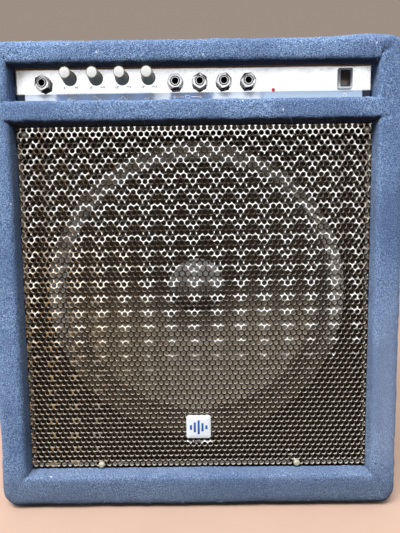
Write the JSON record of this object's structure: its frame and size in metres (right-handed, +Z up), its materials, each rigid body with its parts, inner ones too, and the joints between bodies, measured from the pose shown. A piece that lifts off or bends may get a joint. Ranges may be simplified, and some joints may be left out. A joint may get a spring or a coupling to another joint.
{
  "type": "combo amplifier",
  "caption": "Carpet-covered combo amplifier with a perforated grille over one large loudspeaker, a recessed control panel, turning knobs and a rocker switch.",
  "frame": {"origin": "on the floor under the middle of the cabinet, at the underside of the feet", "axes": "+Z up, -Y out of the front with the grille and the controls, +X to the right seen from the front"},
  "size_m": [0.432, 0.29, 0.5115],
  "materials": {
    "cabinet_board": "raw plywood, hidden by the carpet",
    "baffle_board": "plywood stained dark",
    "rear_panel_paint": "board sprayed matt black",
    "carpet": "needled carpet, slate blue heather",
    "grille_black": "perforated steel, gloss black",
    "zinc_screw": "yellow passivated zinc",
    "badge_enamel": "white domed badge with a plain blue wave",
    "speaker_frame": "pressed steel, black",
    "gasket_paper": "pressed paper gasket",
    "surround_cloth": "doped cloth, rolled",
    "cone_paper": "ribbed paper pulp",
    "cap_paper": "pressed paper dome",
    "coil_copper": "lacquered copper wire on a former",
    "spider_cloth": "resin-treated cloth",
    "motor_steel": "plated steel",
    "ferrite": "sintered ferrite",
    "chassis_black": "folded sheet, black powder coat",
    "panel_silver": "silver panel with a navy lower band",
    "board_green": "solder-masked board",
    "transformer_tape": "taped toroid",
    "sink_aluminium": "extruded fins",
    "capacitor_sleeve": "shrink sleeve",
    "pot_can": "plated can",
    "knob_grey": "tapered knob with a pale cap",
    "jack_plastic": "black moulding",
    "nut_nickel": "bright nickel",
    "switch_bezel": "mid grey moulding",
    "rocker_plastic": "dark brown moulding",
    "led_red": "red lens",
    "inlet_plastic": "black moulding with plated blades",
    "foot_rubber": "matt rubber",
    "band_steel": "black spring steel",
    "grip_rubber": "ribbed moulded grip",
    "cap_plastic": "black moulding with a plated screw"
  },
  "bodies": {
    "root": {"back_panel": "rear_panel_paint", "badge_plate": "badge_enamel", "baffle_board": "baffle_board", "bass_pot": "pot_can", "bottom_panel": "cabinet_board", "carpet_cover": "carpet", "chassis_tray": "chassis_black", "circuit_board": "board_green", "control_panel": "panel_silver", "effects_return_jack": "jack_plastic", "effects_return_nut": "nut_nickel", "effects_send_jack": "jack_plastic", "effects_send_nut": "nut_nickel", "ferrite_magnet": "ferrite", "filter_capacitor": "capacitor_sleeve", "gasket_ring": "gasket_paper", "grille_screw_1": "zinc_screw", "grille_screw_2": "zinc_screw", "grille_screw_3": "zinc_screw", "grille_screw_4": "zinc_screw", "grille_sheet": "grille_black", "handle_band": "band_steel", "handle_cap_left": "cap_plastic", "handle_cap_right": "cap_plastic", "headphone_jack": "jack_plastic", "headphone_nut": "nut_nickel", "heat_sink": "sink_aluminium", "input_jack": "jack_plastic", "input_nut": "nut_nickel", "line_out_jack": "jack_plastic", "line_out_nut": "nut_nickel", "mains_inlet": "inlet_plastic", "mid_pot": "pot_can", "pole_yoke": "motor_steel", "power_led": "led_red", "power_transformer": "transformer_tape", "rubber_foot_1": "foot_rubber", "rubber_foot_2": "foot_rubber", "rubber_foot_3": "foot_rubber", "rubber_foot_4": "foot_rubber", "shelf_panel": "cabinet_board", "side_panel_left": "cabinet_board", "side_panel_right": "cabinet_board", "speaker_basket": "speaker_frame", "spider": "spider_cloth", "surround": "surround_cloth", "switch_housing": "switch_bezel", "top_panel": "cabinet_board", "top_plate": "motor_steel", "treble_pot": "pot_can", "volume_pot": "pot_can"},
    "cone": {"speaker_cone": "cone_paper", "dust_cap": "cap_paper", "voice_coil": "coil_copper"},
    "volume_knob": {"volume_knob": "knob_grey"},
    "bass_knob": {"bass_knob": "knob_grey"},
    "mid_knob": {"mid_knob": "knob_grey"},
    "treble_knob": {"treble_knob": "knob_grey"},
    "power_rocker": {"power_rocker": "rocker_plastic"},
    "handle": {"handle_grip": "grip_rubber"}
  },
  "joints": [
    {"name": "volume_turn", "type": "hinge", "parent": "root", "child": "volume_knob", "pos_m": [-0.129, -0.135, 0.4647], "axis": [0, 1, 0], "range_deg": [-150, 150]},
    {"name": "bass_turn", "type": "hinge", "parent": "root", "child": "bass_knob", "pos_m": [-0.1016, -0.135, 0.4647], "axis": [0, 1, 0], "range_deg": [-150, 150]},
    {"name": "mid_turn", "type": "hinge", "parent": "root", "child": "mid_knob", "pos_m": [-0.0742, -0.135, 0.4647], "axis": [0, 1, 0], "range_deg": [-150, 150]},
    {"name": "treble_turn", "type": "hinge", "parent": "root", "child": "treble_knob", "pos_m": [-0.0468, -0.135, 0.4647], "axis": [0, 1, 0], "range_deg": [-150, 150]},
    {"name": "power_rock", "type": "hinge", "parent": "root", "child": "power_rocker", "pos_m": [0.1592, -0.1215, 0.4616], "axis": [-1, 0, 0], "range_deg": [0, 20]},
    {"name": "cone_travel", "type": "slide", "parent": "root", "child": "cone", "axis": [0, -1, 0], "range_m": [-0.004, 0.004], "stiffness_N_per_m": 4000, "deforming": ["surround", "spider"]},
    {"name": "handle_lift", "type": "slide", "parent": "root", "child": "handle", "axis": [0, 0, 1], "range_m": [0, 0.012], "deforming": ["handle_band"]}
  ]
}
